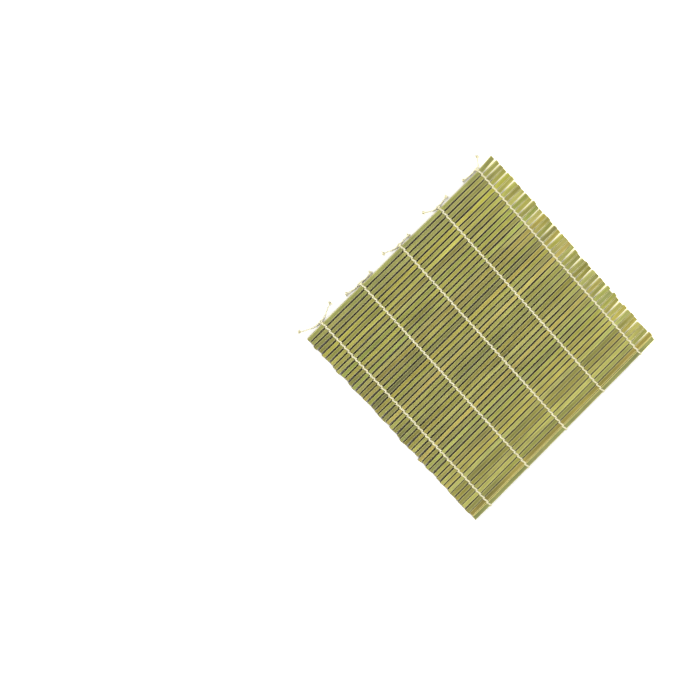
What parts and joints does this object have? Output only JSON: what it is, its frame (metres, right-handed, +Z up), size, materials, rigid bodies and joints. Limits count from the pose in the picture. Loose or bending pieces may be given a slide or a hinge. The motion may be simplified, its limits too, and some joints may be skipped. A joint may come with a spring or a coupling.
{
  "type": "sushi rolling mat",
  "caption": "Square bamboo rolling mat: narrow slats side by side, bound by five rows of twined cotton string, knotted with loose tails along one edge; it rolls up slat by slat.",
  "frame": {"origin": "middle of the mat's underside, on the surface that it lies on; loose tails not counted", "axes": "+X along the slats, +Y across them towards the knotted edge, +Z up out of the work face"},
  "size_m": [0.2424, 0.2468, 0.0037],
  "materials": {
    "bamboo": "split bamboo, satin skin side up, olive green, each slat a little different",
    "cotton": "undyed soft cotton string, two strands twined"
  },
  "bodies": {
    "slat_01": {"slat_01": "bamboo", "edge_knot_1": "cotton", "edge_knot_2": "cotton", "edge_knot_3": "cotton", "edge_knot_4": "cotton", "edge_knot_5": "cotton", "tie_tails_1": "cotton", "tie_tails_2": "cotton", "tie_tails_3": "cotton", "tie_tails_4": "cotton", "tie_tails_5": "cotton", "tail_tips": "cotton"},
    "slat_02": {"slat_02": "bamboo"},
    "slat_03": {"slat_03": "bamboo"},
    "slat_04": {"slat_04": "bamboo"},
    "slat_05": {"slat_05": "bamboo"},
    "slat_06": {"slat_06": "bamboo"},
    "slat_07": {"slat_07": "bamboo"},
    "slat_08": {"slat_08": "bamboo"},
    "slat_09": {"slat_09": "bamboo"},
    "slat_10": {"slat_10": "bamboo"},
    "slat_11": {"slat_11": "bamboo"},
    "slat_12": {"slat_12": "bamboo"},
    "slat_13": {"slat_13": "bamboo"},
    "slat_14": {"slat_14": "bamboo"},
    "slat_15": {"slat_15": "bamboo"},
    "slat_16": {"slat_16": "bamboo"},
    "slat_17": {"slat_17": "bamboo"},
    "slat_18": {"slat_18": "bamboo"},
    "slat_19": {"slat_19": "bamboo"},
    "slat_20": {"slat_20": "bamboo"},
    "slat_21": {"slat_21": "bamboo"},
    "slat_22": {"slat_22": "bamboo"},
    "slat_23": {"slat_23": "bamboo"},
    "slat_24": {"slat_24": "bamboo"},
    "slat_25": {"slat_25": "bamboo"},
    "slat_26": {"slat_26": "bamboo"},
    "slat_27": {"slat_27": "bamboo"},
    "slat_28": {"slat_28": "bamboo"},
    "slat_29": {"slat_29": "bamboo"},
    "slat_30": {"slat_30": "bamboo"},
    "slat_31": {"slat_31": "bamboo"},
    "slat_32": {"slat_32": "bamboo"},
    "slat_33": {"slat_33": "bamboo"},
    "slat_34": {"slat_34": "bamboo"},
    "slat_35": {"slat_35": "bamboo"},
    "slat_36": {"slat_36": "bamboo"},
    "slat_37": {"slat_37": "bamboo"},
    "slat_38": {"slat_38": "bamboo"},
    "slat_39": {"slat_39": "bamboo"},
    "slat_40": {"slat_40": "bamboo"},
    "slat_41": {"slat_41": "bamboo"},
    "slat_42": {"slat_42": "bamboo"},
    "slat_43": {"slat_43": "bamboo"},
    "slat_44": {"slat_44": "bamboo"},
    "slat_45": {"slat_45": "bamboo"},
    "slat_46": {"slat_46": "bamboo", "end_folds": "cotton"}
  },
  "joints": [
    {"name": "gap_01_02", "type": "hinge", "parent": "slat_01", "child": "slat_02", "pos_m": [0, 0.11165, 0.00178], "axis": [-1, 0, 0], "range_deg": [0, 12.38]},
    {"name": "gap_02_03", "type": "hinge", "parent": "slat_02", "child": "slat_03", "pos_m": [0, 0.10655, 0.00178], "axis": [-1, 0, 0], "range_deg": [0, 12.46]},
    {"name": "gap_03_04", "type": "hinge", "parent": "slat_03", "child": "slat_04", "pos_m": [0, 0.10145, 0.00178], "axis": [-1, 0, 0], "range_deg": [0, 12.55]},
    {"name": "gap_04_05", "type": "hinge", "parent": "slat_04", "child": "slat_05", "pos_m": [0, 0.09635, 0.00178], "axis": [-1, 0, 0], "range_deg": [0, 12.64]},
    {"name": "gap_05_06", "type": "hinge", "parent": "slat_05", "child": "slat_06", "pos_m": [0, 0.09125, 0.00178], "axis": [-1, 0, 0], "range_deg": [0, 12.73]},
    {"name": "gap_06_07", "type": "hinge", "parent": "slat_06", "child": "slat_07", "pos_m": [0, 0.08615, 0.00178], "axis": [-1, 0, 0], "range_deg": [0, 12.82]},
    {"name": "gap_07_08", "type": "hinge", "parent": "slat_07", "child": "slat_08", "pos_m": [0, 0.08105, 0.00178], "axis": [-1, 0, 0], "range_deg": [0, 12.91]},
    {"name": "gap_08_09", "type": "hinge", "parent": "slat_08", "child": "slat_09", "pos_m": [0, 0.07595, 0.00178], "axis": [-1, 0, 0], "range_deg": [0, 13.01]},
    {"name": "gap_09_10", "type": "hinge", "parent": "slat_09", "child": "slat_10", "pos_m": [0, 0.07085, 0.00178], "axis": [-1, 0, 0], "range_deg": [0, 13.1]},
    {"name": "gap_10_11", "type": "hinge", "parent": "slat_10", "child": "slat_11", "pos_m": [0, 0.06575, 0.00178], "axis": [-1, 0, 0], "range_deg": [0, 13.2]},
    {"name": "gap_11_12", "type": "hinge", "parent": "slat_11", "child": "slat_12", "pos_m": [0, 0.06065, 0.00178], "axis": [-1, 0, 0], "range_deg": [0, 13.3]},
    {"name": "gap_12_13", "type": "hinge", "parent": "slat_12", "child": "slat_13", "pos_m": [0, 0.05555, 0.00178], "axis": [-1, 0, 0], "range_deg": [0, 13.41]},
    {"name": "gap_13_14", "type": "hinge", "parent": "slat_13", "child": "slat_14", "pos_m": [0, 0.05045, 0.00178], "axis": [-1, 0, 0], "range_deg": [0, 13.51]},
    {"name": "gap_14_15", "type": "hinge", "parent": "slat_14", "child": "slat_15", "pos_m": [0, 0.04535, 0.00178], "axis": [-1, 0, 0], "range_deg": [0, 13.62]},
    {"name": "gap_15_16", "type": "hinge", "parent": "slat_15", "child": "slat_16", "pos_m": [0, 0.04025, 0.00178], "axis": [-1, 0, 0], "range_deg": [0, 13.74]},
    {"name": "gap_16_17", "type": "hinge", "parent": "slat_16", "child": "slat_17", "pos_m": [0, 0.03515, 0.00178], "axis": [-1, 0, 0], "range_deg": [0, 13.85]},
    {"name": "gap_17_18", "type": "hinge", "parent": "slat_17", "child": "slat_18", "pos_m": [0, 0.03005, 0.00178], "axis": [-1, 0, 0], "range_deg": [0, 13.97]},
    {"name": "gap_18_19", "type": "hinge", "parent": "slat_18", "child": "slat_19", "pos_m": [0, 0.02495, 0.00178], "axis": [-1, 0, 0], "range_deg": [0, 14.09]},
    {"name": "gap_19_20", "type": "hinge", "parent": "slat_19", "child": "slat_20", "pos_m": [0, 0.01985, 0.00178], "axis": [-1, 0, 0], "range_deg": [0, 14.21]},
    {"name": "gap_20_21", "type": "hinge", "parent": "slat_20", "child": "slat_21", "pos_m": [0, 0.01475, 0.00178], "axis": [-1, 0, 0], "range_deg": [0, 14.34]},
    {"name": "gap_21_22", "type": "hinge", "parent": "slat_21", "child": "slat_22", "pos_m": [0, 0.00965, 0.00178], "axis": [-1, 0, 0], "range_deg": [0, 14.47]},
    {"name": "gap_22_23", "type": "hinge", "parent": "slat_22", "child": "slat_23", "pos_m": [0, 0.00455, 0.00178], "axis": [-1, 0, 0], "range_deg": [0, 14.6]},
    {"name": "gap_23_24", "type": "hinge", "parent": "slat_23", "child": "slat_24", "pos_m": [0, -0.00055, 0.00178], "axis": [-1, 0, 0], "range_deg": [0, 14.74]},
    {"name": "gap_24_25", "type": "hinge", "parent": "slat_24", "child": "slat_25", "pos_m": [0, -0.00565, 0.00178], "axis": [-1, 0, 0], "range_deg": [0, 14.88]},
    {"name": "gap_25_26", "type": "hinge", "parent": "slat_25", "child": "slat_26", "pos_m": [0, -0.01075, 0.00178], "axis": [-1, 0, 0], "range_deg": [0, 15.03]},
    {"name": "gap_26_27", "type": "hinge", "parent": "slat_26", "child": "slat_27", "pos_m": [0, -0.01585, 0.00178], "axis": [-1, 0, 0], "range_deg": [0, 15.18]},
    {"name": "gap_27_28", "type": "hinge", "parent": "slat_27", "child": "slat_28", "pos_m": [0, -0.02095, 0.00178], "axis": [-1, 0, 0], "range_deg": [0, 15.34]},
    {"name": "gap_28_29", "type": "hinge", "parent": "slat_28", "child": "slat_29", "pos_m": [0, -0.02605, 0.00178], "axis": [-1, 0, 0], "range_deg": [0, 15.5]},
    {"name": "gap_29_30", "type": "hinge", "parent": "slat_29", "child": "slat_30", "pos_m": [0, -0.03115, 0.00178], "axis": [-1, 0, 0], "range_deg": [0, 15.66]},
    {"name": "gap_30_31", "type": "hinge", "parent": "slat_30", "child": "slat_31", "pos_m": [0, -0.03625, 0.00178], "axis": [-1, 0, 0], "range_deg": [0, 15.83]},
    {"name": "gap_31_32", "type": "hinge", "parent": "slat_31", "child": "slat_32", "pos_m": [0, -0.04135, 0.00178], "axis": [-1, 0, 0], "range_deg": [0, 16.01]},
    {"name": "gap_32_33", "type": "hinge", "parent": "slat_32", "child": "slat_33", "pos_m": [0, -0.04645, 0.00178], "axis": [-1, 0, 0], "range_deg": [0, 16.19]},
    {"name": "gap_33_34", "type": "hinge", "parent": "slat_33", "child": "slat_34", "pos_m": [0, -0.05155, 0.00178], "axis": [-1, 0, 0], "range_deg": [0, 16.38]},
    {"name": "gap_34_35", "type": "hinge", "parent": "slat_34", "child": "slat_35", "pos_m": [0, -0.05665, 0.00178], "axis": [-1, 0, 0], "range_deg": [0, 16.58]},
    {"name": "gap_35_36", "type": "hinge", "parent": "slat_35", "child": "slat_36", "pos_m": [0, -0.06175, 0.00178], "axis": [-1, 0, 0], "range_deg": [0, 16.78]},
    {"name": "gap_36_37", "type": "hinge", "parent": "slat_36", "child": "slat_37", "pos_m": [0, -0.06685, 0.00178], "axis": [-1, 0, 0], "range_deg": [0, 16.99]},
    {"name": "gap_37_38", "type": "hinge", "parent": "slat_37", "child": "slat_38", "pos_m": [0, -0.07195, 0.00178], "axis": [-1, 0, 0], "range_deg": [0, 17.21]},
    {"name": "gap_38_39", "type": "hinge", "parent": "slat_38", "child": "slat_39", "pos_m": [0, -0.07705, 0.00178], "axis": [-1, 0, 0], "range_deg": [0, 17.43]},
    {"name": "gap_39_40", "type": "hinge", "parent": "slat_39", "child": "slat_40", "pos_m": [0, -0.08215, 0.00178], "axis": [-1, 0, 0], "range_deg": [0, 17.67]},
    {"name": "gap_40_41", "type": "hinge", "parent": "slat_40", "child": "slat_41", "pos_m": [0, -0.08725, 0.00178], "axis": [-1, 0, 0], "range_deg": [0, 17.92]},
    {"name": "gap_41_42", "type": "hinge", "parent": "slat_41", "child": "slat_42", "pos_m": [0, -0.09235, 0.00178], "axis": [-1, 0, 0], "range_deg": [0, 18.17]},
    {"name": "gap_42_43", "type": "hinge", "parent": "slat_42", "child": "slat_43", "pos_m": [0, -0.09745, 0.00178], "axis": [-1, 0, 0], "range_deg": [0, 18.44]},
    {"name": "gap_43_44", "type": "hinge", "parent": "slat_43", "child": "slat_44", "pos_m": [0, -0.10255, 0.00178], "axis": [-1, 0, 0], "range_deg": [0, 18.72]},
    {"name": "gap_44_45", "type": "hinge", "parent": "slat_44", "child": "slat_45", "pos_m": [0, -0.10765, 0.00178], "axis": [-1, 0, 0], "range_deg": [0, 19.02]},
    {"name": "gap_45_46", "type": "hinge", "parent": "slat_45", "child": "slat_46", "pos_m": [0, -0.11275, 0.00178], "axis": [-1, 0, 0], "range_deg": [0, 19.33]}
  ]
}
